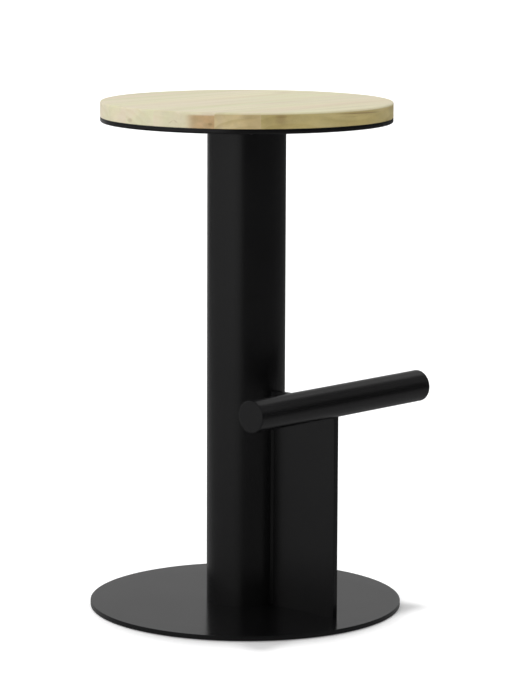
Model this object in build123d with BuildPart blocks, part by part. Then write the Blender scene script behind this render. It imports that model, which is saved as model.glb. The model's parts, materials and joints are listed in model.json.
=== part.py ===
from build123d import *

import os

# Counter-height bar stool: a round wooden seat on a steel column, with a footrest on one side.
# Millimetres, +Z up. The origin is on the floor, on the column's axis. The footrest bar runs
# along X and stands out towards -Y, which is the front.

# Heights and plates, from the floor up
seat_height = 650.0  # floor to sitting surface
base_diameter = 400.0
base_thickness = 6.0
base_edge_break = 0.5
seat_plate_diameter = 370.0
seat_plate_thickness = 6.0
seat_plate_lower_chamfer = 1.2
column_diameter = 100.0
column_wall = 2.0

# Wooden seat, edge-glued from staves that lie parallel to the footrest bar
seat_diameter = 370.0
seat_thickness = 20.0
seat_edge_chamfer = 1.2
glue_joints = (-138.0, -95.0, -54.0, -17.0, 33.0, 76.0, 120.0, 163.0)  # Y of each joint

# Footrest: a tube in the notched corner of an upright fin
footrest_height = 285.0  # floor to the bar's axis
footrest_reach = 155.0  # column's axis to the bar's axis
footrest_length = 315.0
footrest_diameter = 40.0
footrest_wall = 2.0
cap_thickness = 3.0
cap_edge_break = 0.8
fin_thickness = 8.0
fin_edge_round = 1.0
weld_leg = 2.5

# Flange in the column's foot, and the M8 countersunk bolts that hold the base plate to it
flange_thickness = 8.0
bolt_circle_diameter = 68.0
bolt_count = 3
bolt_start_angle = 90.0  # seen from below
bolt_diameter = 8.0
bolt_length = 14.0
bolt_head_diameter = 16.4
bolt_hole_diameter = 9.0
bolt_socket_flats = 5.0
bolt_socket_depth = 3.0

# M6 button-head screws from below, in threaded inserts in the wood
screw_circle_diameter = 300.0
screw_count = 4
screw_start_angle = 45.0
screw_diameter = 6.0
screw_length = 16.0
screw_head_diameter = 10.5
screw_head_height = 3.3
screw_head_rim = 1.1
screw_crown_diameter = 6.5
screw_hole_diameter = 6.6
screw_socket_flats = 4.0
screw_socket_depth = 2.0
insert_diameter = 9.4
insert_length = 13.0
insert_hole_depth = 14.0

# Self-adhesive plastic glides under the base plate
glide_circle_diameter = 356.0
glide_count = 6
glide_diameter = 25.0
glide_thickness = 1.0

fit_clearance = 0.05  # radial play of a turned piece in its bore
countersink_angle = 90.0

# Levels and radii that follow from the above
base_bottom = glide_thickness
base_top = base_bottom + base_thickness
seat_bottom = seat_height - seat_thickness
seat_plate_bottom = seat_bottom - seat_plate_thickness
column_length = seat_plate_bottom - base_top
column_radius = column_diameter / 2
column_bore_radius = column_radius - column_wall
footrest_radius = footrest_diameter / 2
footrest_bore_radius = footrest_radius - footrest_wall
footrest_tube_length = footrest_length - 2 * cap_thickness
footrest_axis = Axis((0, -footrest_reach, footrest_height), (1, 0, 0))

os.makedirs("parts", exist_ok=True)


def save(builder, node):
    """Label a finished piece and write it as parts/NODE.step."""
    builder.part.label = node
    export_step(builder.part, f"parts/{node}.step")


def footrest_plane(distance, direction):
    """A plane square to the bar, at a distance along it from the fin, facing +X or -X."""
    centre = (distance * direction, -footrest_reach, footrest_height)
    return Plane(origin=centre, x_dir=(0, 1, 0), z_dir=(direction, 0, 0))


def seat_stave(front, back):
    """One board of the seat, between two glue joints, cut to the seat's round outline."""
    with BuildPart() as stave:
        with BuildSketch(Plane.XY.offset(seat_bottom)):
            Circle(seat_diameter / 2)
        extrude(amount=seat_thickness)
        chamfer(stave.edges().group_by(Axis.Z)[-1], length=seat_edge_chamfer)
        chamfer(stave.edges().group_by(Axis.Z)[0], length=seat_edge_chamfer)
        with BuildSketch(Plane.XY.offset(seat_bottom)):
            with Locations((0, (front + back) / 2)):
                Rectangle(seat_diameter, back - front)
        extrude(amount=seat_thickness, mode=Mode.INTERSECT)
        with Locations(-Plane.XY.offset(seat_bottom)):
            with PolarLocations(screw_circle_diameter / 2, screw_count, screw_start_angle):
                Hole(insert_diameter / 2 + fit_clearance, insert_hole_depth)
    return stave


def end_cap(direction):
    """A flat disc, welded on one end of the bar and ground flush with it."""
    mouth = footrest_plane(footrest_tube_length / 2, direction)
    with BuildPart() as cap:
        with BuildSketch(mouth):
            Circle(footrest_radius)
        extrude(amount=cap_thickness)
        outer_face = cap.faces().sort_by(Axis(mouth.origin, mouth.z_dir))[-1]
        chamfer(outer_face.edges(), length=cap_edge_break)
    return cap


# ---- Wooden seat ----
stave_edges = (-seat_diameter / 2, *glue_joints, seat_diameter / 2)
for number, (front, back) in enumerate(zip(stave_edges, stave_edges[1:]), start=1):
    save(seat_stave(front, back), f"seat_stave_{number}")

with BuildPart() as insert:
    with BuildSketch():
        Circle(insert_diameter / 2)
        Circle(screw_diameter / 2 + fit_clearance, mode=Mode.SUBTRACT)
    extrude(amount=insert_length)

with BuildPart(Plane.XY.offset(seat_bottom)) as seat_inserts:
    with PolarLocations(screw_circle_diameter / 2, screw_count, screw_start_angle):
        add(insert.part)
save(seat_inserts, "seat_inserts")

# ---- Steel seat plate, welded on the column and screwed to the wood ----
with BuildPart() as seat_plate:
    with BuildSketch(Plane.XY.offset(seat_plate_bottom)):
        Circle(seat_plate_diameter / 2)
        with PolarLocations(screw_circle_diameter / 2, screw_count, screw_start_angle):
            Circle(screw_hole_diameter / 2, mode=Mode.SUBTRACT)
    extrude(amount=seat_plate_thickness)
    lower_rim = seat_plate.edges().group_by(Axis.Z)[0].sort_by(SortBy.RADIUS)[-1]
    chamfer(lower_rim, length=seat_plate_lower_chamfer)
save(seat_plate, "seat_plate")

# One button-head screw, head down, with its bearing face at the origin
with BuildPart() as screw:
    with BuildSketch(Plane.XZ):
        with BuildLine():
            rim = (screw_head_diameter / 2, -screw_head_rim)
            crown = (screw_crown_diameter / 2, -screw_head_height)
            Polyline((0, 0), (screw_head_diameter / 2, 0), rim, crown, (0, -screw_head_height), close=True)
        make_face()
    revolve(axis=Axis.Z)
    with BuildSketch():
        Circle(screw_diameter / 2)
    extrude(amount=screw_length)
    with BuildSketch(Plane.XY.offset(-screw_head_height)):
        RegularPolygon(screw_socket_flats / 2, 6, major_radius=False)
    extrude(amount=screw_socket_depth, mode=Mode.SUBTRACT)

with BuildPart(Plane.XY.offset(seat_plate_bottom)) as seat_screws:
    with PolarLocations(screw_circle_diameter / 2, screw_count, screw_start_angle):
        add(screw.part)
save(seat_screws, "seat_screws")

# ---- Column: a plain tube, with a flange welded flush inside its foot ----
with BuildPart() as column_tube:
    with BuildSketch(Plane.XY.offset(base_top)):
        Circle(column_radius)
        Circle(column_bore_radius, mode=Mode.SUBTRACT)
    extrude(amount=column_length)
save(column_tube, "column_tube")

with BuildPart() as column_flange:
    with BuildSketch(Plane.XY.offset(base_top)):
        Circle(column_bore_radius - fit_clearance)
        with PolarLocations(bolt_circle_diameter / 2, bolt_count, -bolt_start_angle):
            Circle(bolt_diameter / 2 + fit_clearance, mode=Mode.SUBTRACT)
    extrude(amount=flange_thickness)
save(column_flange, "column_flange")

# ---- Base plate, on its glides ----
with BuildPart() as base_plate:
    with BuildSketch(Plane.XY.offset(base_bottom)):
        Circle(base_diameter / 2)
    extrude(amount=base_thickness)
    chamfer(base_plate.edges().group_by(Axis.Z)[-1], length=base_edge_break)
    with Locations(-Plane.XY.offset(base_bottom)):
        with PolarLocations(bolt_circle_diameter / 2, bolt_count, bolt_start_angle):
            CounterSinkHole(
                radius=bolt_hole_diameter / 2,
                counter_sink_radius=bolt_head_diameter / 2 + fit_clearance,
                depth=base_thickness,
                counter_sink_angle=countersink_angle,
            )
save(base_plate, "base_plate")

with BuildPart() as base_glides:
    with BuildSketch():
        with PolarLocations(glide_circle_diameter / 2, glide_count):
            Circle(glide_diameter / 2)
    extrude(amount=glide_thickness)
save(base_glides, "base_glides")

# One countersunk bolt, with the top of its head at the origin and its shank down
with BuildPart() as bolt:
    with BuildSketch(Plane.XZ):
        with BuildLine():
            Polyline(
                (0, 0),
                (bolt_head_diameter / 2, 0),
                (bolt_diameter / 2, -(bolt_head_diameter - bolt_diameter) / 2),
                (bolt_diameter / 2, -bolt_length),
                (0, -bolt_length),
                close=True,
            )
        make_face()
    revolve(axis=Axis.Z)
    with BuildSketch():
        RegularPolygon(bolt_socket_flats / 2, 6, major_radius=False)
    extrude(amount=-bolt_socket_depth, mode=Mode.SUBTRACT)

with BuildPart(-Plane.XY.offset(base_bottom)) as base_bolts:
    with PolarLocations(bolt_circle_diameter / 2, bolt_count, bolt_start_angle):
        add(bolt.part)
save(base_bolts, "base_bolts")

# ---- Footrest fin: coped to the column, with a quarter-round seat for the bar ----
with BuildPart() as footrest_fin:
    with BuildSketch(Plane.YZ):
        with BuildLine():
            Polyline(
                (-footrest_reach, base_top),
                (-column_bore_radius, base_top),
                (-column_bore_radius, footrest_height),
                (-footrest_reach, footrest_height),
                close=True,
            )
        make_face()
        with Locations((-footrest_reach, footrest_height)):
            Circle(footrest_radius, mode=Mode.SUBTRACT)
    extrude(amount=fin_thickness / 2, both=True)
    with BuildSketch(Plane.XY):
        Circle(column_radius)
    extrude(amount=seat_height, mode=Mode.SUBTRACT)
    outer_edges = footrest_fin.edges().filter_by(Axis.Z).group_by(Axis.Y)[0]
    fillet(outer_edges, radius=fin_edge_round)
save(footrest_fin, "footrest_fin")

# ---- Weld beads: round the column's head, down the fin's root, and round its seat for the bar ----
with BuildPart() as weld_beads:
    with BuildSketch(Plane.XZ):
        with BuildLine():
            head_corner = (column_radius, seat_plate_bottom)
            plate_end = (column_radius + weld_leg, seat_plate_bottom)
            tube_end = (column_radius, seat_plate_bottom - weld_leg)
            Polyline(head_corner, plate_end, tube_end, close=True)
        make_face()
    revolve(axis=Axis.Z)
    with BuildSketch(Plane.XY.offset(base_top)):
        with BuildLine():
            face_end = (fin_thickness / 2, -column_radius - weld_leg)
            column_end = (fin_thickness / 2 + weld_leg, -column_radius)
            under_wall = (column_end[0], -column_bore_radius)
            inner_corner = (fin_thickness / 2, -column_bore_radius)
            Polyline(face_end, column_end, under_wall, inner_corner, close=True)
        make_face()
        Circle(column_radius, mode=Mode.SUBTRACT)
    extrude(amount=footrest_height - base_top)
    with BuildSketch(Plane(footrest_axis.position, x_dir=(1, 0, 0), z_dir=(0, 1, 0))):
        with BuildLine():
            seat_corner = (fin_thickness / 2, footrest_radius)
            bar_end = (fin_thickness / 2 + weld_leg, footrest_radius)
            fin_end = (fin_thickness / 2, footrest_radius + weld_leg)
            Polyline(seat_corner, bar_end, fin_end, close=True)
        make_face()
    revolve(axis=footrest_axis, revolution_arc=90)
    mirror(about=Plane.YZ)
save(weld_beads, "weld_beads")

# ---- Footrest bar and its end caps ----
with BuildPart() as footrest_tube:
    with BuildSketch(footrest_plane(0, 1)):
        Circle(footrest_radius)
        Circle(footrest_bore_radius, mode=Mode.SUBTRACT)
    extrude(amount=footrest_tube_length / 2, both=True)
save(footrest_tube, "footrest_tube")

save(end_cap(-1), "footrest_end_cap_left")
save(end_cap(1), "footrest_end_cap_right")
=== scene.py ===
"""Looks of the counter stool: pale stave-glued seat, satin black steel, soft studio light.

Metres, in the part's own frame: +Z up, origin on the floor at the column's axis, footrest towards -Y.
"""

import json
import math

import bmesh
import bpy
from mathutils import Matrix, Vector


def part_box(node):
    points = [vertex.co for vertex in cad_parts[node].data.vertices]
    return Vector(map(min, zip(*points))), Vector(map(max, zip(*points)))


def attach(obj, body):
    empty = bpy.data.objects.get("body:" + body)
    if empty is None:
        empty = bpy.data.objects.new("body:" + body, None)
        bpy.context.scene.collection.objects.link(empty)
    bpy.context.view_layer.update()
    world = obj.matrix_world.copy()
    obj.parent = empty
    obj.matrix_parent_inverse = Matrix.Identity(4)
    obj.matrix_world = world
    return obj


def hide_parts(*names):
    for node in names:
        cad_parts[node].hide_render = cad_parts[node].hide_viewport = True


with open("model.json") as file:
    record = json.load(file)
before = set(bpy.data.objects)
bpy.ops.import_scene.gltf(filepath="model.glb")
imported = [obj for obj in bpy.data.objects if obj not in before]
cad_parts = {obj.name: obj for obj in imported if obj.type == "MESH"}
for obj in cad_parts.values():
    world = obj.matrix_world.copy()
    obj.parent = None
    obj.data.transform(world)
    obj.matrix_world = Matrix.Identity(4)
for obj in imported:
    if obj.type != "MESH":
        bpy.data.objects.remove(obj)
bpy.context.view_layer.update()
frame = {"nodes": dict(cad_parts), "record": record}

# ---------------------------------------------------------------------------------------------
# Camera and light
# ---------------------------------------------------------------------------------------------

# Camera: where the stool was seen from, and how long the lens is
camera_distance = 3.8646
camera_height = 0.9570
stool_turn = math.radians(46.94)  # from the footrest's front, round to the left
camera_yaw = math.radians(0.245)
camera_pitch = math.radians(9.192)
camera_roll = math.radians(0.228)
camera_lens = 157.615  # mm
camera_sensor = 36.0  # mm, along the image's long side
heading = stool_turn + camera_yaw

# Light levels, where 1 is a white surface in full light
sun_level = 0.43
sun_elevation = math.radians(87.0)
sun_spread = math.radians(6.0)
dome_level = 0.55
dome_lean = 0.78  # how much brighter the dome is on the left
rear_level = 2.7  # a low band of the dome behind the stool
backdrop_level = 0.42
backdrop_head_share = 0.2  # what is left of the backdrop's level above its head
floor_level = 0.95  # of the floor as the stool sees it
floor_lift = 0.17  # keeps the open floor white to the camera
floor_reach = 30.0

# The room that gloss sees: (bearing, level) stops in four bands, from the floor to the ceiling.
# Bearing 0 is straight behind the stool, 0.25 right, 0.5 at the camera and 0.75 left.
GROUND = ((0.0, 0.22), (0.35, 0.22), (0.55, 0.15), (0.9, 0.15), (1.0, 0.22))
HORIZON_LOW = (
    (0.0, 0.15), (0.15, 0.12), (0.25, 0.12), (0.42, 0.06), (0.52, 0.07), (0.60, 0.18),
    (0.71, 0.23), (0.78, 0.22), (0.84, 0.30), (0.92, 0.30), (1.0, 0.15),
)
HORIZON = (
    (0.0, 0.30), (0.05, 0.08), (0.16, 0.05), (0.25, 0.035), (0.42, 0.035), (0.525, 0.04), (0.555, 0.48),
    (0.61, 0.56), (0.71, 0.43), (0.78, 0.27), (0.83, 0.15), (0.87, 0.10), (0.89, 0.15), (0.92, 0.36),
    (1.0, 0.30),
)
SKY = (
    (0.0, 0.23), (0.04, 0.30), (0.085, 0.52), (0.112, 0.52), (0.132, 0.16), (0.17, 0.14), (0.22, 0.21),
    (0.5, 0.15), (0.8, 0.2), (1.0, 0.23),
)

# Soft edges of those bands, of the backdrop and of the rear light, by a part of the unit vector that
# points there: its rise, or for the two sides how far it leads away from the camera
GROUND_HEAD = (-0.38, -0.12)
HORIZON_LOW_HEAD = (-0.19, -0.14)
SKY_FOOT = (0.20, 0.45)
BACKDROP_SIDES = (0.78, 0.97)
BACKDROP_FOOT = (-0.06, 0.06)
BACKDROP_HEAD = (0.25, 0.5)
REAR_SIDES = (0.3, 0.65)
REAR_HEAD = (0.30, 0.42)

# ---------------------------------------------------------------------------------------------
# Dimensions that the boxes of the CAD nodes don't give, in metres
# ---------------------------------------------------------------------------------------------
seat_upper_round = 0.0020
seat_lower_round = 0.0012
seat_plate_round = 0.0020
base_round = 0.0005
column_wall = 0.002
bar_wall = 0.002
cap_round = 0.0015
fin_round = 0.0010
screw_hole_radius = 0.0033
screw_head_radius = 0.00525
screw_head_rim = 0.0006
screw_crown_radius = 0.0016  # a flat that the socket cuts away
screw_radius = 0.003
screw_flats = 0.004
screw_socket_depth = 0.002
insert_hole_radius = 0.00475
insert_hole_depth = 0.014
bolt_radius = 0.004
bolt_hole_radius = 0.0045
bolt_head_radius = 0.0082
bolt_flats = 0.005
bolt_socket_depth = 0.003
glide_round = 0.0003

# Circles of repeats round the column's axis: radius, count, and the first one's angle in degrees
SCREW_CIRCLE = (0.150, 4, 45)
BOLT_CIRCLE = (0.034, 3, -90)
GLIDE_CIRCLE = (0.178, 6, 0)

# Weld beads: fillets with ripples, a little hollow
weld_leg = 0.0025
bead_crown = -0.00007
ripple_height = 0.00006
ripple_pitch = 0.0019
ripple_bow = 0.45  # how far a ripple's middle runs ahead of its ends, in pitches
ripple_step = 0.0004
bead_facets = 8
bead_end_share = 0.2  # of the leg that is left at an open end
fin_bead_phase = 0.3  # where the ripples start, in pitches, with the opposite sign on the other side
bar_bead_phase = 0.2
column_fall = 0.07  # how the column's surface falls away beside the fin

# How finely round things are divided, and how closely cuts and edges are found
disc_segments = 360
column_segments = 240
bar_segments = 144
glide_segments = 64
fastener_segments = 48
overcut = 0.001  # how far a cutter stands out of what it cuts
slice_tolerance = 1e-7
edge_tolerance = 1e-6

# ---------------------------------------------------------------------------------------------
# Finishes
# ---------------------------------------------------------------------------------------------

# Noise scales are per metre. A span is of a noise's value, which lies round 0.5.
NOISE_SPAN = (0.3, 0.7)
WIDE_SPAN = (0.2, 0.8)

# Powder coat: orange peel and grit, and a haze that varies gloss and tone.
# Roughness stays below 0.274, because the denoiser draws a line where it crosses that.
peel_scale = 420.0
grit_scale = 2600.0
grit_share = 0.25
haze_scale = 9.0
coat_relief = 0.00001
coat_relief_strength = 0.6
COAT_DARK = (0.0042, 0.0042, 0.0046)
COAT_PALE = (0.0056, 0.0056, 0.0060)
COAT_TONE_SPAN = (0.25, 0.75)
COAT_ROUGHNESS = (0.24, 0.272)
BASE_ROUGHNESS = (0.17, 0.20)

# Plain finishes: fine tool marks and a cloudy tone
tool_mark_scale = 1800.0
tool_mark_relief = 0.00001
tool_mark_strength = 0.5
tool_mark_gloss = 0.06
cloud_scale = 60.0
cloud_shade = 0.8

# By slot: colour, metallic, roughness. The boards have their own wood in place of seat_wood.
PLAIN_FINISHES = {
    "seat_wood": ((0.66, 0.61, 0.41), 0.0, 0.5),
    "black_steel": ((0.02, 0.02, 0.022), 0.0, 0.35),
    "zinc_steel": ((0.55, 0.55, 0.56), 1.0, 0.3),
    "bare_steel": ((0.34, 0.33, 0.32), 1.0, 0.45),
    "glide_plastic": ((0.03, 0.03, 0.03), 0.0, 0.6),
}

# Wood: gloss and relief
wood_roughness = 0.38
wood_roughness_spread = 0.05
wood_relief = 0.00004
wood_relief_strength = 0.5
pore_depth = 0.8  # of the fibres' height

# Pale wood, in paler and darker bands, with pink and greenish parts
SAP_TONES = (0.95, 1.05)
SAP_TONE_SPAN = (0.32, 0.68)
SAP_PINK = (0.88, 0.745, 0.60)
PINK_SPAN = (0.48, 0.68)
SAP_GREEN = (0.80, 0.795, 0.505)
GREEN_SPAN = (0.32, 0.52)
hue_share = 0.55

# Brown wood under a pale skin, forward of a ragged edge
skin_depth = 0.0031
skin_core = 0.45  # share of that depth that is all pale
BROWN_TONES = (0.93, 1.07)
BROWN_COVER = (0.85, 1.0)
BROWN_EDGE = (-0.006, 0.008)  # how softly it begins, along Y
brown_ragged = 0.010

# Growth rings: each darkens slowly and pales quickly, and they are fainter in patches
PALE_LATE = (0.87, 0.80, 0.65)
BROWN_LATE = (0.78, 0.73, 0.55)
LATE_RISE = (0.2, 0.85)  # within a ring's width
LATE_FALL = (0.85, 1.0)
LATE_PATCHES = (0.3, 0.65)
late_faint = 0.15
late_in_sap = 0.30
late_in_brown = 0.55
ring_wander = 0.020

# Fibres, pores, marks, streaks and glue lines. An edge goes from full strength to none.
FIBRE_TONE = (0.55, 0.48, 0.36)
fibre_shade = 0.10
PORE_TONE = (0.42, 0.33, 0.20)
PORE_SPAN = (0.66, 0.74)
pore_shade = 0.35
MARK_TONE = (0.33, 0.22, 0.085)
MARK_EDGE = (0.3, 1.15)  # in the mark's own size
mark_wander = 0.5
STREAK_TONE = (0.64, 0.53, 0.37)
STREAK_EDGE = (0.1, 1.2)  # in the streak's own size
streak_wander = 0.008
GLUE_TONE = (0.88, 0.84, 0.66)
GLUE_EDGE = (0.00012, 0.0006)  # in metres from the joint
glue_shade = 0.08

# The wood's noises, drawn out along the board: scale along it, scale across it, detail, roughness
SWAY = (2.2, 18.0, 3.0, 0.5)
BAND = (1.6, 42.0, 3.0, 0.6)
HUE = (3.5, 24.0, 2.0, 0.5)
CLOUD = (25.0, 110.0, 3.0, 0.6)
FIBRE = (38.0, 1500.0, 3.0, 0.6)
PORE = (70.0, 2600.0, 1.0, 0.5)
BOARD_SHIFT = (0.37, 0.11, 0.05)  # from one board's piece of noise to the next's

# Each board, from the front one backwards:
# pith: Y and Z of the axis that its growth rings run round; ring: a ring's width
# sap: its pale wood's colour; late: the tone of its rings
# brown: its brown wood's colour, found forward of the level of Y in brown_from, below the pale skin
# skin: that skin's depth, where it isn't the usual one
# marks: darker spots, as centre, size, strength, tilt about X and tilt about Y in degrees
# streaks: reddish ones along the board, as X and Y of the middle, half length, half width, strength
STAVE_LOOKS = (
    {
        "pith": (-0.158, 0.606), "ring": 0.0105, "sap": (0.828, 0.764, 0.522), "late": BROWN_LATE,
        "brown": (0.575, 0.47, 0.192), "brown_from": -0.10,
        "marks": (
            ((-0.108, -0.151, 0.640), (0.028, 0.024, 0.018), 0.26, 0, 0),
            ((-0.104, -0.153, 0.6405), (0.0095, 0.008, 0.0060), 0.40, 0, 0),
            ((-0.103, -0.154, 0.6450), (0.009, 0.010, 0.0022), 0.55, 0, 0),
            ((0.004, -0.185, 0.6450), (0.042, 0.020, 0.0035), 0.12, 0, 0),
            ((0.008, -0.185, 0.6450), (0.052, 0.020, 0.0011), 0.80, 0, -1.7),
            ((-0.016, -0.185, 0.6418), (0.020, 0.020, 0.0006), 0.35, 0, -2.5),
        ),
        "streaks": ((0.010, -0.1570, 0.085, 0.0050, 0.50),),
    },
    {
        "pith": (-0.121, 0.602), "ring": 0.0105, "sap": (0.818, 0.754, 0.512), "late": BROWN_LATE,
        "brown": (0.69, 0.545, 0.275), "brown_from": -0.08,
        "marks": (
            ((-0.129, -0.132, 0.640), (0.017, 0.017, 0.025), 0.26, 0, 0),
            ((-0.131, -0.131, 0.6448), (0.014, 0.014, 0.0030), 0.25, 0, 0),
        ),
        "streaks": ((-0.152, -0.1000, 0.022, 0.0060, 0.25), (0.060, -0.1200, 0.070, 0.0045, 0.25)),
    },
    {
        "pith": (-0.060, 0.560), "ring": 0.0095, "sap": (0.828, 0.764, 0.538), "late": PALE_LATE,
        "brown": (0.61, 0.41, 0.205), "brown_from": -0.062, "skin": 0.0050,
        "marks": (
            ((-0.1624, -0.0880, 0.6342), (0.012, 0.0065, 0.0040), 0.28, 0, 0),
            ((-0.1615, -0.0905, 0.6357), (0.010, 0.0030, 0.0020), 0.60, 0, 0),
            ((-0.1700, -0.0735, 0.6405), (0.010, 0.0085, 0.0055), 0.20, 0, 0),
        ),
    },
    {
        "pith": (-0.010, 0.545), "ring": 0.0100, "sap": (0.828, 0.764, 0.538), "late": PALE_LATE,
        "marks": (
            ((-0.180, -0.0421, 0.6366), (0.020, 0.0050, 0.0006), 0.35, 34, 0),
            ((-0.178, -0.0487, 0.6376), (0.020, 0.0034, 0.0006), 0.35, -31, 0),
        ),
        "streaks": ((0.010, -0.0490, 0.070, 0.0055, 0.50), (-0.060, -0.0280, 0.060, 0.0050, 0.25)),
    },
    {
        "pith": (0.050, 0.575), "ring": 0.0088, "sap": (0.818, 0.769, 0.538), "late": PALE_LATE,
        "marks": (((-0.183, 0.0245, 0.6346), (0.010, 0.0060, 0.0034), 0.34, 0, 0),),
        "streaks": ((-0.020, 0.0060, 0.080, 0.0060, 0.25),),
    },
    {
        "pith": (0.030, 0.550), "ring": 0.0095, "sap": (0.838, 0.774, 0.538), "late": PALE_LATE,
        "streaks": ((0.130, 0.0585, 0.025, 0.0080, 0.60),),
    },
    {"pith": (0.120, 0.570), "ring": 0.0090, "sap": (0.838, 0.784, 0.552), "late": PALE_LATE},
    {"pith": (0.100, 0.560), "ring": 0.0097, "sap": (0.812, 0.756, 0.514), "late": PALE_LATE},
    {
        "pith": (0.200, 0.580), "ring": 0.0092, "sap": (0.828, 0.774, 0.559), "late": PALE_LATE,
        "streaks": ((-0.025, 0.1720, 0.060, 0.0080, 0.55),),
    },
)
BORED_STAVES = (2, 7)  # the boards that the screws' inserts are in
joints_within = 0.999  # of the seat's radius: a board's side further out is the rim


# ---------------------------------------------------------------------------------------------
# Node helpers
# ---------------------------------------------------------------------------------------------
class Nodes:
    """Short calls for building a node tree."""

    def __init__(self, tree):
        self.tree = tree
        tree.nodes.clear()

    def add(self, kind, **settings):
        node = self.tree.nodes.new(kind)
        for key, value in settings.items():
            setattr(node, key, value)
        return node

    def feed(self, socket, value):
        """Link an output to a socket, or set a plain value on it."""
        if isinstance(value, bpy.types.NodeSocket):
            self.tree.links.new(value, socket)
        else:
            socket.default_value = value

    def math(self, operation, *values):
        node = self.add("ShaderNodeMath", operation=operation)
        for socket, value in zip(node.inputs, values):
            self.feed(socket, value)
        return node.outputs[0]

    def vector(self, operation, *values):
        node = self.add("ShaderNodeVectorMath", operation=operation)
        for socket, value in zip(node.inputs, values):
            self.feed(socket, value)
        return node.outputs["Value" if operation == "LENGTH" else "Vector"]

    def split(self, vector):
        node = self.add("ShaderNodeSeparateXYZ")
        self.feed(node.inputs[0], vector)
        return node.outputs

    def join(self, x, y, z):
        node = self.add("ShaderNodeCombineXYZ")
        for socket, value in zip(node.inputs, (x, y, z)):
            self.feed(socket, value)
        return node.outputs[0]

    def step(self, value, low, high, out_low=0.0, out_high=1.0, smooth=True):
        """Remap low..high to out_low..out_high, held at both ends."""
        kind = "SMOOTHSTEP" if smooth else "LINEAR"
        node = self.add("ShaderNodeMapRange", interpolation_type=kind)
        for socket, item in zip(node.inputs, (value, low, high, out_low, out_high)):
            self.feed(socket, item)
        return node.outputs[0]

    def noise(self, vector, scale, detail, roughness=0.5):
        node = self.add("ShaderNodeTexNoise")
        self.feed(node.inputs["Vector"], vector)
        self.feed(node.inputs["Scale"], scale)
        self.feed(node.inputs["Detail"], detail)
        self.feed(node.inputs["Roughness"], roughness)
        return node.outputs["Fac"]

    def wander(self, value, noise, reach):
        """The value, moved by the noise by up to half the reach either way."""
        return self.math("MULTIPLY_ADD", self.math("ADD", noise, -0.5), reach, value)

    def mix(self, factor, a, b, blend="MIX"):
        """Mix two colours."""
        node = self.add("ShaderNodeMix", data_type="RGBA", blend_type=blend)
        self.feed(node.inputs["Factor"], factor)
        for key, value in (("A", a), ("B", b)):
            socket = [s for s in node.inputs if s.name == key and s.type == "RGBA"][0]
            self.feed(socket, (*value, 1.0) if isinstance(value, tuple) else value)
        return [s for s in node.outputs if s.type == "RGBA"][0]

    def blend(self, factor, a, b):
        """Mix two plain numbers."""
        node = self.add("ShaderNodeMix", data_type="FLOAT")
        for socket, value in zip((node.inputs[0], node.inputs[2], node.inputs[3]), (factor, a, b)):
            self.feed(socket, value)
        return node.outputs[0]

    def ramp(self, value, stops):
        """A grey level that goes straight from one (place, level) stop to the next."""
        node = self.add("ShaderNodeValToRGB")
        elements = node.color_ramp.elements
        while len(elements) < len(stops):
            elements.new(0.5)
        for element, (place, _) in zip(elements, stops):
            element.position = place
        for element, (_, level) in zip(elements, stops):
            element.color = (level, level, level, 1.0)
        self.feed(node.inputs[0], value)
        return node.outputs[0]

    def bump(self, height, distance, strength):
        node = self.add("ShaderNodeBump")
        self.feed(node.inputs["Height"], height)
        self.feed(node.inputs["Distance"], distance)
        self.feed(node.inputs["Strength"], strength)
        return node.outputs[0]


def new_material(name):
    """A material with one Principled shader, and the place on the object that its textures use."""
    material = bpy.data.materials.new(name)
    material.use_nodes = True
    nodes = Nodes(material.node_tree)
    shader = nodes.add("ShaderNodeBsdfPrincipled")
    output = nodes.add("ShaderNodeOutputMaterial")
    nodes.feed(output.inputs["Surface"], shader.outputs[0])
    place = nodes.add("ShaderNodeTexCoord").outputs["Object"]
    return material, nodes, shader, place


def scaled(values, factor):
    """A colour or a vector, each of its values times the factor."""
    return tuple(factor * value for value in values)


# ---------------------------------------------------------------------------------------------
# Steel and plastic
# ---------------------------------------------------------------------------------------------
def powder_coat(name, smooth, rough):
    """Satin black powder coat: fine orange peel, and a little unevenness in its gloss."""
    material, nodes, shader, place = new_material(name)
    peel = nodes.noise(place, peel_scale, detail=2.0)
    grit = nodes.noise(place, grit_scale, detail=1.0)
    haze = nodes.noise(place, haze_scale, detail=3.0)
    height = nodes.math("MULTIPLY_ADD", grit, grit_share, peel)
    nodes.feed(shader.inputs["Normal"], nodes.bump(height, coat_relief, coat_relief_strength))
    nodes.feed(shader.inputs["Roughness"], nodes.step(haze, *NOISE_SPAN, smooth, rough))
    tone = nodes.mix(nodes.step(haze, *COAT_TONE_SPAN), COAT_DARK, COAT_PALE)
    nodes.feed(shader.inputs["Base Color"], tone)
    return material


def plain_finish(name, colour, metallic, roughness):
    """A turned, plated or moulded surface with fine tool marks."""
    material, nodes, shader, place = new_material(name)
    marks = nodes.noise(place, tool_mark_scale, detail=3.0)
    cloud = nodes.noise(place, cloud_scale, detail=3.0)
    tone = nodes.mix(nodes.step(cloud, *NOISE_SPAN), colour, scaled(colour, cloud_shade))
    nodes.feed(shader.inputs["Base Color"], tone)
    shader.inputs["Metallic"].default_value = metallic
    gloss = nodes.step(marks, *WIDE_SPAN, roughness - tool_mark_gloss, roughness + tool_mark_gloss)
    nodes.feed(shader.inputs["Roughness"], gloss)
    nodes.feed(shader.inputs["Normal"], nodes.bump(marks, tool_mark_relief, tool_mark_strength))
    return material


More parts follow.
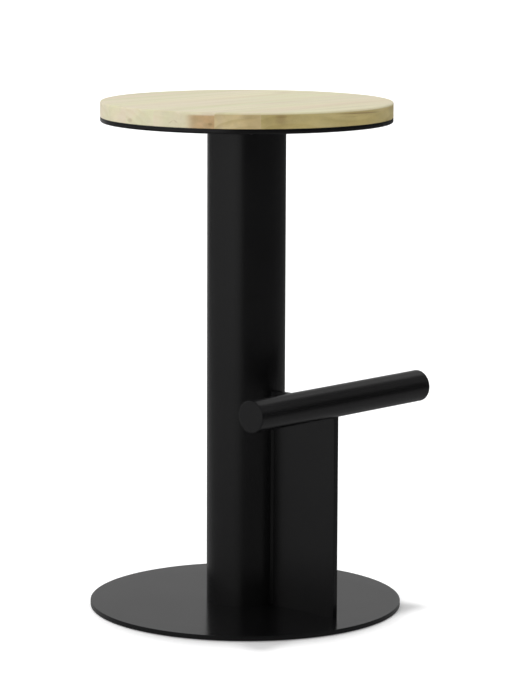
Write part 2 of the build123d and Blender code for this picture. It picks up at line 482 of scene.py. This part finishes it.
# ---------------------------------------------------------------------------------------------
# Wood
# ---------------------------------------------------------------------------------------------
class Board:
    """What one board's wood is made from: its look, its place in the seat and its noises."""

    def __init__(self, nodes, place, number, top):
        self.nodes = nodes
        self.place = place
        self.look = STAVE_LOOKS[number - 1]
        self.x, self.y, self.z = nodes.split(place)
        self.shifted = nodes.vector("ADD", place, scaled(BOARD_SHIFT, number))
        self.sway = self.noise(*SWAY)
        self.band = self.noise(*BAND)
        self.hue = self.noise(*HUE)
        self.fibre = self.noise(*FIBRE)
        self.pore = nodes.step(self.noise(*PORE), *PORE_SPAN)
        skin = self.look.get("skin", skin_depth)
        self.below_skin = nodes.step(self.z, top - skin, top - skin_core * skin, 1.0, 0.0)

    def noise(self, along, across, detail, roughness):
        """Noise that is drawn out along the board."""
        stretched = self.nodes.vector("MULTIPLY", self.shifted, (along, across, across))
        return self.nodes.noise(stretched, 1.0, detail, roughness)


def sap_wood(nodes, board):
    """Pale wood: paler and darker bands, with pink and greenish parts."""
    dark, pale = (scaled(board.look["sap"], tone) for tone in SAP_TONES)
    colour = nodes.mix(nodes.step(board.band, *SAP_TONE_SPAN), dark, pale)
    colour = nodes.mix(nodes.step(board.hue, *PINK_SPAN, 0.0, hue_share), colour, SAP_PINK)
    return nodes.mix(nodes.step(board.hue, *GREEN_SPAN, hue_share, 0.0), colour, SAP_GREEN)


def brown_share(nodes, board):
    """Where the board is brown, 0 to 1: below its skin, and forward of a ragged edge."""
    full, none = (board.look["brown_from"] + level for level in BROWN_EDGE)
    ragged = nodes.math("MULTIPLY_ADD", board.band, brown_ragged, board.y)
    return nodes.math("MULTIPLY", nodes.step(ragged, full, none, 1.0, 0.0), board.below_skin)


def add_brown(nodes, board, colour, share):
    """Cloudy brown wood, where its share says."""
    dark, pale = (scaled(board.look["brown"], tone) for tone in BROWN_TONES)
    brown = nodes.mix(nodes.step(board.noise(*CLOUD), *NOISE_SPAN), dark, pale)
    cover = nodes.math("MULTIPLY", share, nodes.step(board.hue, *NOISE_SPAN, *BROWN_COVER))
    return nodes.mix(cover, colour, brown)


def add_marks(nodes, board, colour):
    """Knots, stains and resin lines: soft dark ellipsoids below the board's skin."""
    for centre, size, strength, tilt_x, tilt_y in board.look.get("marks", ()):
        turn = nodes.add("ShaderNodeVectorRotate", rotation_type="EULER_XYZ")
        nodes.feed(turn.inputs["Vector"], nodes.vector("SUBTRACT", board.place, centre))
        turn.inputs["Rotation"].default_value = (math.radians(tilt_x), math.radians(tilt_y), 0)
        away = nodes.vector("LENGTH", nodes.vector("DIVIDE", turn.outputs[0], size))
        away = nodes.wander(away, board.fibre, mark_wander)
        spot = nodes.math("MULTIPLY", nodes.step(away, *MARK_EDGE, strength, 0.0), board.below_skin)
        colour = nodes.mix(spot, colour, MARK_TONE)
    return colour


def add_streaks(nodes, board, colour):
    """Long reddish streaks, a little wavy."""
    for middle_x, middle_y, half_length, half_width, strength in board.look.get("streaks", ()):
        along = nodes.math("DIVIDE", nodes.math("ADD", board.x, -middle_x), half_length)
        drift = nodes.wander(board.y, board.sway, streak_wander)
        across = nodes.math("DIVIDE", nodes.math("ADD", drift, -middle_y), half_width)
        away = nodes.vector("LENGTH", nodes.join(along, across, 0.0))
        colour = nodes.mix(nodes.step(away, *STREAK_EDGE, strength, 0.0), colour, STREAK_TONE)
    return colour


def late_wood(nodes, board):
    """The darker part of each growth ring, 0 to 1. The rings run round an axis along the board."""
    pith_y, pith_z = board.look["pith"]
    dy = nodes.math("ADD", board.y, -pith_y)
    dz = nodes.math("ADD", board.z, -pith_z)
    radius = nodes.math("SQRT", nodes.math("MULTIPLY_ADD", dz, dz, nodes.math("MULTIPLY", dy, dy)))
    radius = nodes.wander(radius, board.sway, ring_wander)
    ring = nodes.math("FRACT", nodes.math("DIVIDE", radius, board.look["ring"]))
    late = nodes.math("MULTIPLY", nodes.step(ring, *LATE_RISE), nodes.step(ring, *LATE_FALL, 1.0, 0.0))
    return nodes.math("MULTIPLY", late, nodes.step(board.sway, *LATE_PATCHES, late_faint, 1.0))


def add_grain(nodes, board, colour, late_strength):
    """Growth rings, fibres and pores."""
    late = nodes.math("MULTIPLY", late_wood(nodes, board), late_strength)
    colour = nodes.mix(late, colour, board.look["late"], "MULTIPLY")
    fibre = nodes.step(board.fibre, *NOISE_SPAN, fibre_shade, 0.0)
    colour = nodes.mix(fibre, colour, FIBRE_TONE, "MULTIPLY")
    return nodes.mix(nodes.math("MULTIPLY", board.pore, pore_shade), colour, PORE_TONE, "MULTIPLY")


def add_glue_lines(nodes, board, colour, joints):
    """A fine line beside each joint."""
    for joint in joints:
        gap = nodes.math("ABSOLUTE", nodes.math("ADD", board.y, -joint))
        colour = nodes.mix(nodes.step(gap, *GLUE_EDGE, glue_shade, 0.0), colour, GLUE_TONE)
    return colour


def stave_wood(number, top, joints):
    """Solid pale hardwood with a clear matt finish."""
    material, nodes, shader, place = new_material(f"wood_{number}")
    board = Board(nodes, place, number, top)
    colour = sap_wood(nodes, board)
    late_strength = late_in_sap
    if "brown" in board.look:
        share = brown_share(nodes, board)
        colour = add_brown(nodes, board, colour, share)
        late_strength = nodes.blend(share, late_in_sap, late_in_brown)
    colour = add_marks(nodes, board, colour)
    colour = add_streaks(nodes, board, colour)
    colour = add_grain(nodes, board, colour, late_strength)
    colour = add_glue_lines(nodes, board, colour, joints)
    nodes.feed(shader.inputs["Base Color"], colour)

    smooth = wood_roughness - wood_roughness_spread
    rough = wood_roughness + wood_roughness_spread
    nodes.feed(shader.inputs["Roughness"], nodes.step(board.fibre, *WIDE_SPAN, smooth, rough))
    relief = nodes.math("MULTIPLY_ADD", board.pore, -pore_depth, board.fibre)
    nodes.feed(shader.inputs["Normal"], nodes.bump(relief, wood_relief, wood_relief_strength))
    return material


# ---------------------------------------------------------------------------------------------
# Studio: camera, light, white floor
# ---------------------------------------------------------------------------------------------
def link(item):
    """Put a new object in the scene."""
    bpy.context.scene.collection.objects.link(item)
    return item


def make_camera():
    """A long lens at the left front, looking slightly down."""
    data = bpy.data.cameras.new("camera")
    data.lens = camera_lens
    data.sensor_width = camera_sensor
    camera = link(bpy.data.objects.new("camera", data))
    x = -camera_distance * math.sin(stool_turn)
    y = -camera_distance * math.cos(stool_turn)
    camera.matrix_world = (
        Matrix.Translation((x, y, camera_height))
        @ Matrix.Rotation(-heading, 4, "Z")
        @ Matrix.Rotation(math.pi / 2 - camera_pitch, 4, "X")
        @ Matrix.Rotation(camera_roll, 4, "Z")
    )
    bpy.context.scene.camera = camera


def room_level(nodes, right, away, up):
    """What gloss sees: softboxes on the left, a pale backdrop, dim elsewhere."""
    bearing = nodes.math("ARCTAN2", right, away)
    on_left = nodes.step(right, -1e-6, 1e-6, 1.0, 0.0)
    bearing = nodes.math("MULTIPLY_ADD", bearing, 0.5 / math.pi, on_left)
    level = nodes.ramp(bearing, HORIZON_LOW)
    level = nodes.blend(nodes.step(up, *HORIZON_LOW_HEAD), level, nodes.ramp(bearing, HORIZON))
    level = nodes.blend(nodes.step(up, *GROUND_HEAD), nodes.ramp(bearing, GROUND), level)
    level = nodes.blend(nodes.step(up, *SKY_FOOT), level, nodes.ramp(bearing, SKY))
    backdrop = nodes.step(away, *BACKDROP_SIDES, 0.0, backdrop_level)
    backdrop = nodes.math("MULTIPLY", backdrop, nodes.step(up, *BACKDROP_FOOT))
    backdrop = nodes.math("MULTIPLY", backdrop, nodes.step(up, *BACKDROP_HEAD, 1.0, backdrop_head_share))
    return nodes.math("MAXIMUM", level, backdrop)


def dome_light(nodes, right, away, up):
    """What lights the stool: a dome, brighter on the left, with a low band behind."""
    left_level = dome_level * (1 + dome_lean)
    right_level = dome_level * (1 - dome_lean)
    dome = nodes.step(right, -1.0, 1.0, left_level, right_level, smooth=False)
    behind = nodes.step(away, *REAR_SIDES)
    rear = nodes.math("MULTIPLY", behind, nodes.step(up, *REAR_HEAD, rear_level, 0.0))
    return nodes.math("ADD", dome, rear)


def make_world():
    """White to the camera, a studio room to gloss, and a dome light to everything else."""
    world = bpy.data.worlds.new("studio")
    bpy.context.scene.world = world
    world.use_nodes = True
    nodes = Nodes(world.node_tree)
    turn = nodes.add("ShaderNodeVectorRotate", rotation_type="Z_AXIS")
    nodes.feed(turn.inputs["Vector"], nodes.add("ShaderNodeTexCoord").outputs["Generated"])
    nodes.feed(turn.inputs["Angle"], heading)
    direction = nodes.split(turn.outputs[0])  # to the right, away from the camera, and up
    room = room_level(nodes, *direction)
    dome = dome_light(nodes, *direction)

    path = nodes.add("ShaderNodeLightPath")
    seen = nodes.math("MAXIMUM", path.outputs["Is Camera Ray"], path.outputs["Is Transmission Ray"])
    final = nodes.blend(path.outputs["Is Glossy Ray"], dome, room)
    final = nodes.blend(seen, final, 1.0)
    background = nodes.add("ShaderNodeBackground")
    background.inputs["Color"].default_value = (1, 1, 1, 1)
    nodes.feed(background.inputs["Strength"], final)
    output = nodes.add("ShaderNodeOutputWorld")
    nodes.feed(output.inputs["Surface"], background.outputs[0])


def make_sun():
    """A broad high light from a little behind the stool."""
    data = bpy.data.lights.new("overhead", "SUN")
    data.energy = math.pi * sun_level
    data.angle = sun_spread
    lamp = link(bpy.data.objects.new("overhead", data))
    away = Vector((math.sin(heading), math.cos(heading), 0.0))
    toward_light = away * math.cos(sun_elevation) + Vector((0, 0, math.sin(sun_elevation)))
    lamp.rotation_mode = "QUATERNION"
    lamp.rotation_quaternion = toward_light.to_track_quat("Z", "Y")
    lamp.visible_glossy = False


def floor_material():
    """Matt white, lifted a little for the camera alone."""
    material = bpy.data.materials.new("white_floor")
    material.use_nodes = True
    nodes = Nodes(material.node_tree)
    seen = nodes.add("ShaderNodeLightPath").outputs["Is Camera Ray"]
    shader = nodes.add("ShaderNodeBsdfPrincipled")
    shader.inputs["Roughness"].default_value = 1.0
    shader.inputs["Specular IOR Level"].default_value = 0.0
    nodes.feed(shader.inputs["Base Color"], nodes.step(seen, 0.0, 1.0, floor_level, 1.0))
    shader.inputs["Emission Color"].default_value = (1, 1, 1, 1)
    nodes.feed(shader.inputs["Emission Strength"], nodes.math("MULTIPLY", seen, floor_lift))
    output = nodes.add("ShaderNodeOutputMaterial")
    nodes.feed(output.inputs["Surface"], shader.outputs[0])
    return material


def make_floor():
    """A large white floor that keeps the stool's shadow."""
    mesh = bpy.data.meshes.new("floor")
    corners = [(x * floor_reach, y * floor_reach, 0) for x, y in ((-1, -1), (1, -1), (1, 1), (-1, 1))]
    mesh.from_pydata(corners, [], [(0, 1, 2, 3)])
    mesh.materials.append(floor_material())
    floor = link(bpy.data.objects.new("floor", mesh))
    floor.visible_glossy = False


# ---------------------------------------------------------------------------------------------
# Shapes
# ---------------------------------------------------------------------------------------------
def arc(centre, radius, start, end, steps):
    """Points of an arc in a plane, from start to end in degrees."""
    points = []
    for step in range(steps + 1):
        angle = math.radians(start + (end - start) * step / steps)
        points.append((centre[0] + radius * math.cos(angle), centre[1] + radius * math.sin(angle)))
    return points


def lower_rim(radius, level, size, steps):
    """The rounded lower edge of a profile."""
    return arc((radius - size, level + size), size, -90, 0, steps)


def upper_rim(radius, level, size, steps):
    """The rounded upper edge of a profile."""
    return arc((radius - size, level - size), size, 0, 90, steps)


def skin_rings(bm, rings, closed):
    """Faces between each ring of corners and the next. Open ends get a flat face."""
    for low, high in zip(rings, rings[1:] + rings[:1] if closed else rings[1:]):
        for step in range(len(low)):
            other = (step + 1) % len(low)
            bm.faces.new((low[step], low[other], high[other], high[step]))
    if not closed:
        bm.faces.new(rings[0])
        bm.faces.new(rings[-1])


def revolve(profile, segments, closed=False):
    """Turn a profile of (radius, height) points round the Z axis. An open one gets flat ends."""
    bm = bmesh.new()
    rings = []
    for radius, height in profile:
        ring = []
        for step in range(segments):
            angle = 2 * math.pi * step / segments
            ring.append(bm.verts.new((radius * math.cos(angle), radius * math.sin(angle), height)))
        rings.append(ring)
    skin_rings(bm, rings, closed)
    bmesh.ops.recalc_face_normals(bm, faces=bm.faces)
    return bm


def hexagon(flats, low, high):
    """A six-sided prism on the Z axis."""
    corner = flats / math.sqrt(3)
    return revolve([(corner, low), (corner, high)], 6)


def around(bm, radius, count, start):
    """Copies of a shape on a circle round the Z axis. Start in degrees."""
    whole = bmesh.new()
    for step in range(count):
        angle = math.radians(start) + 2 * math.pi * step / count
        spot = Matrix.Rotation(angle, 4, "Z") @ Matrix.Translation((radius, 0, 0))
        copy = bpy.data.meshes.new("copy")
        bm.to_mesh(copy)
        copy.transform(spot)
        whole.from_mesh(copy)
        bpy.data.meshes.remove(copy)
    bm.free()
    return whole


def cut(bm, cutter):
    """The first shape less the second."""
    block = loose_object("block", bm)
    tool = loose_object("tool", cutter)
    modifier = block.modifiers.new("cut", "BOOLEAN")
    modifier.operation = "DIFFERENCE"
    modifier.solver = "EXACT"
    modifier.object = tool
    graph = bpy.context.evaluated_depsgraph_get()
    result = bpy.data.meshes.new_from_object(block.evaluated_get(graph))
    remainder = bmesh.new()
    remainder.from_mesh(result)
    for mesh in (block.data, tool.data, result):
        bpy.data.meshes.remove(mesh)
    return remainder


def loose_object(name, bm):
    """A shape as an object in the scene."""
    mesh = bpy.data.meshes.new(name)
    bm.to_mesh(mesh)
    bm.free()
    return link(bpy.data.objects.new(name, mesh))


def dress(name, bm, nodes, material, sharp=35.0):
    """Make a finished piece of a shape: it stands for the CAD nodes and rides on the body."""
    piece = loose_object(name, bm)
    piece.data.materials.append(material)
    piece.data.shade_smooth()
    piece.data.set_sharp_from_angle(angle=math.radians(sharp))
    piece.modifiers.new("weighted", "WEIGHTED_NORMAL").keep_sharp = True
    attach(piece, "root")
    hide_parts(*nodes)


def span(node):
    """Lowest and highest corner of a CAD node."""
    low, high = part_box(node)
    return Vector(low), Vector(high)


# ---------------------------------------------------------------------------------------------
# Seat
# ---------------------------------------------------------------------------------------------
def slice_off(bm, level, outward):
    """Take away what lies beyond a level of Y, and close the cut."""
    everything = bm.verts[:] + bm.edges[:] + bm.faces[:]
    sliced = bmesh.ops.bisect_plane(
        bm,
        geom=everything,
        dist=slice_tolerance,
        plane_co=(0, level, 0),
        plane_no=(0, outward, 0),
        clear_outer=True,
    )
    rim = [item for item in sliced["geom_cut"] if isinstance(item, bmesh.types.BMEdge)]
    bmesh.ops.contextual_create(bm, geom=rim)


def make_staves():
    """The seat's boards: one turned disc, sliced at the glue joints."""
    boxes = [span(f"seat_stave_{number}") for number in range(1, len(STAVE_LOOKS) + 1)]
    bottom = boxes[0][0].z
    top = boxes[0][1].z
    radius = max(high.x for low, high in boxes)
    profile = lower_rim(radius, bottom, seat_lower_round, steps=4)
    profile += upper_rim(radius, top, seat_upper_round, steps=8)
    for number, (low, high) in enumerate(boxes, start=1):
        stave = revolve(profile, disc_segments)
        joints = [level for level in (low.y, high.y) if abs(level) < joints_within * radius]
        for level in joints:
            slice_off(stave, level, 1 if level == high.y else -1)
        if number in BORED_STAVES:
            ends = (bottom - overcut, bottom + insert_hole_depth)
            hole = revolve([(insert_hole_radius, end) for end in ends], fastener_segments)
            stave = cut(stave, around(hole, *SCREW_CIRCLE))
        bmesh.ops.recalc_face_normals(stave, faces=stave.faces)
        wood = stave_wood(number, top, joints)
        dress(f"stave_{number}", stave, [f"seat_stave_{number}"], wood)


def make_seat_plate(material):
    """The steel disc under the wood, with holes for the screws."""
    low, high = span("seat_plate")
    profile = lower_rim(high.x, low.z, seat_plate_round, steps=6) + [(high.x, high.z)]
    plate = revolve(profile, disc_segments)
    ends = (low.z - overcut, high.z + overcut)
    hole = revolve([(screw_hole_radius, end) for end in ends], fastener_segments)
    plate = cut(plate, around(hole, *SCREW_CIRCLE))
    dress("plate_under_seat", plate, ["seat_plate"], material)


def make_screws(material):
    """Button-head screws under the seat plate, with hexagon sockets."""
    low, high = span("seat_screws")
    bearing = span("seat_plate")[0].z
    profile = [(screw_crown_radius, low.z)]
    for turn in range(10, 90, 10):
        out = math.sin(math.radians(turn))
        down = math.cos(math.radians(turn))
        profile.append((screw_head_radius * out, bearing - (bearing - low.z) * down))
    profile += [(screw_head_radius, bearing - screw_head_rim), (screw_head_radius, bearing)]
    profile += [(screw_radius, bearing), (screw_radius, high.z)]
    socket = hexagon(screw_flats, low.z - overcut, low.z + screw_socket_depth)
    screw = cut(revolve(profile, fastener_segments), socket)
    dress("screws", around(screw, *SCREW_CIRCLE), ["seat_screws"], material)


# ---------------------------------------------------------------------------------------------
# Column and base
# ---------------------------------------------------------------------------------------------
def make_column(material):
    """The plain round tube."""
    low, high = span("column_tube")
    bore = high.x - column_wall
    section = [(bore, low.z), (high.x, low.z), (high.x, high.z), (bore, high.z)]
    tube = revolve(section, column_segments, closed=True)
    dress("column", tube, ["column_tube"], material)


def make_base_plate(material):
    """A disc with rounded rims, countersunk from below for the bolts."""
    low, high = span("base_plate")
    radius = min(high.x, -low.x, high.y, -low.y)
    profile = lower_rim(radius, low.z, base_round / 2, steps=3)
    profile += upper_rim(radius, high.z, base_round, steps=4)
    plate = revolve(profile, disc_segments)
    foot = low.z - overcut
    sink = bolt_head_radius + overcut
    neck = foot + sink - bolt_hole_radius
    cone = [(sink, foot), (bolt_hole_radius, neck), (bolt_hole_radius, high.z + overcut)]
    plate = cut(plate, around(revolve(cone, fastener_segments), *BOLT_CIRCLE))
    dress("round_base", plate, ["base_plate"], material)


def make_bolts(material):
    """Countersunk bolts in the underside of the base plate."""
    low, high = span("base_bolts")
    neck = low.z + bolt_head_radius - bolt_radius
    profile = [(bolt_head_radius, low.z), (bolt_radius, neck), (bolt_radius, high.z)]
    socket = hexagon(bolt_flats, low.z - overcut, low.z + bolt_socket_depth)
    bolt = cut(revolve(profile, fastener_segments), socket)
    dress("bolts", around(bolt, *BOLT_CIRCLE), ["base_bolts"], material)


def make_glides(material):
    """Thin stick-on discs under the base plate."""
    low, high = span("base_glides")
    radius = (high.x - low.x) / 2 - GLIDE_CIRCLE[0]
    profile = lower_rim(radius, low.z, glide_round, steps=4) + [(radius, high.z)]
    glide = revolve(profile, glide_segments)
    dress("glides", around(glide, *GLIDE_CIRCLE), ["base_glides"], material)


# ---------------------------------------------------------------------------------------------
# Footrest
# ---------------------------------------------------------------------------------------------
def make_bar(material):
    """The footrest: a tube along X, and the two discs ground flush with it."""
    low, high = span("footrest_tube")
    radius = (high.z - low.z) / 2
    bore = radius - bar_wall
    half = (high.x - low.x) / 2
    lie_down = Matrix.Translation((low + high) / 2) @ Matrix.Rotation(math.pi / 2, 4, "Y")
    section = [(bore, -half), (radius, -half), (radius, half), (bore, half)]
    tube = revolve(section, bar_segments, closed=True)
    tube.transform(lie_down)
    dress("bar", tube, ["footrest_tube"], material)
    for side, turn in (("left", math.pi), ("right", 0)):
        node = f"footrest_end_cap_{side}"
        cap_low, cap_high = span(node)
        end = half + (cap_high.x - cap_low.x)
        profile = [(radius, half)] + upper_rim(radius, end, cap_round, steps=6)
        cap = revolve(profile, bar_segments)
        cap.transform(Matrix.Rotation(turn, 4, "Y"))
        cap.transform(lie_down)
        bmesh.ops.recalc_face_normals(cap, faces=cap.faces)
        dress(f"bar_cap_{side}", cap, [node], material)


def fin_root():
    """Y of the line where the fin's faces meet the column."""
    return -math.sqrt(span("column_tube")[1].x ** 2 - span("footrest_fin")[1].x ** 2)


def round_edges(bm, axis, level, size, segments):
    """Round the edges at a level of Y or Z, but not those that run along X."""
    edges = []
    for edge in bm.edges:
        first, second = (vert.co for vert in edge.verts)
        at_level = all(abs(getattr(end, axis) - level) < edge_tolerance for end in (first, second))
        if at_level and abs(first.x - second.x) < edge_tolerance:
            edges.append(edge)
    bmesh.ops.bevel(bm, geom=edges, offset=size, segments=segments, affect="EDGES", profile=0.5)


def make_fin(material):
    """The upright plate, coped to the column and notched for the bar."""
    low, high = span("footrest_fin")
    tube_low, tube_high = span("footrest_tube")
    notch = arc((low.y, high.z), (tube_high.z - tube_low.z) / 2, 0, -90, steps=24)
    outline = [(low.y, low.z), (fin_root(), low.z), (fin_root(), high.z)] + notch
    bm = bmesh.new()
    face = bm.faces.new([bm.verts.new((low.x, y, z)) for y, z in outline])
    grown = bmesh.ops.extrude_face_region(bm, geom=[face])
    moved = [item for item in grown["geom"] if isinstance(item, bmesh.types.BMVert)]
    bmesh.ops.translate(bm, verts=moved, vec=(high.x - low.x, 0, 0))
    round_edges(bm, "y", low.y, fin_round, segments=5)
    round_edges(bm, "z", high.z, fin_round / 2, segments=3)
    bmesh.ops.recalc_face_normals(bm, faces=bm.faces)
    dress("fin", bm, ["footrest_fin"], material)


def bead(bm, path, length, closed=False, phase=0.0):
    """One weld bead with ripples. path(t) gives its corner and the directions of its two legs."""
    count = round(length / ripple_step)
    rings = []
    for step in range(count if closed else count + 1):
        s = length * step / count
        corner, first, second = path(s / length)
        share = 1.0
        if not closed:
            from_end = min(1.0, min(s, length - s) / weld_leg)
            share = max(bead_end_share, math.sqrt(1 - (1 - from_end) ** 2))
        size = weld_leg * share
        ring = [bm.verts.new(corner)]
        for point in range(bead_facets + 1):
            v = point / bead_facets
            lead = 1 - (2 * v - 1) ** 2
            wave = abs(math.sin(math.pi * (s / ripple_pitch - ripple_bow * lead + phase)))
            crown = lead * (bead_crown + ripple_height * wave) * share
            spot = corner + first * size * (1 - v) + second * size * v
            ring.append(bm.verts.new(spot + (first + second).normalized() * crown))
        rings.append(ring)
    skin_rings(bm, rings, closed)


def make_beads(material):
    """Fillet welds: round the column's head, down the fin's root and round its seat for the bar."""
    bm = bmesh.new()
    column_high = span("column_tube")[1]
    fin_low, fin_high = span("footrest_fin")
    bar_low, bar_high = span("footrest_tube")
    bar_radius = (bar_high.z - bar_low.z) / 2
    root = fin_root()

    def head(t):
        out = Vector((math.cos(2 * math.pi * t), math.sin(2 * math.pi * t), 0))
        return out * column_high.x + Vector((0, 0, column_high.z)), out, Vector((0, 0, -1))

    bead(bm, head, 2 * math.pi * column_high.x, closed=True)
    for side in (-1, 1):

        def down(t):
            corner = Vector((side * fin_high.x, root, fin_high.z + (fin_low.z - fin_high.z) * t))
            return corner, Vector((0, -1, 0)), Vector((side, column_fall, 0)).normalized()

        def round_bar(t):
            out = Vector((0, math.sin(math.pi / 2 * t), -math.cos(math.pi / 2 * t)))
            centre = Vector((side * fin_high.x, fin_low.y, fin_high.z))
            return centre + out * bar_radius, Vector((side, 0, 0)), out

        bead(bm, down, fin_high.z - fin_low.z, phase=fin_bead_phase * side)
        bead(bm, round_bar, math.pi / 2 * bar_radius, phase=bar_bead_phase * side)
    bmesh.ops.recalc_face_normals(bm, faces=bm.faces)
    dress("beads", bm, ["weld_beads"], material, sharp=60)


# ---------------------------------------------------------------------------------------------
# The scene
# ---------------------------------------------------------------------------------------------
make_camera()
make_world()
make_sun()
make_floor()

coat = powder_coat("powder_coat", *COAT_ROUGHNESS)
base_coat = powder_coat("base_coat", *BASE_ROUGHNESS)
slot_materials = {slot: plain_finish(slot, *finish) for slot, finish in PLAIN_FINISHES.items()}
slot_materials["powder_coat"] = coat

# Every CAD node gets its slot's material. The flange and the inserts are shown as CAD made them.
for part in frame["record"]["subparts"]:
    mesh = frame["nodes"][part["node"]].data
    mesh.materials.clear()
    mesh.materials.append(slot_materials[part["material_slot"]])

make_staves()
make_seat_plate(coat)
make_base_plate(base_coat)
make_column(coat)
make_bar(coat)
make_fin(coat)
make_beads(coat)
make_screws(slot_materials["black_steel"])
make_bolts(slot_materials["black_steel"])
make_glides(slot_materials["glide_plastic"])

bpy.context.scene.view_settings.view_transform = "Standard"
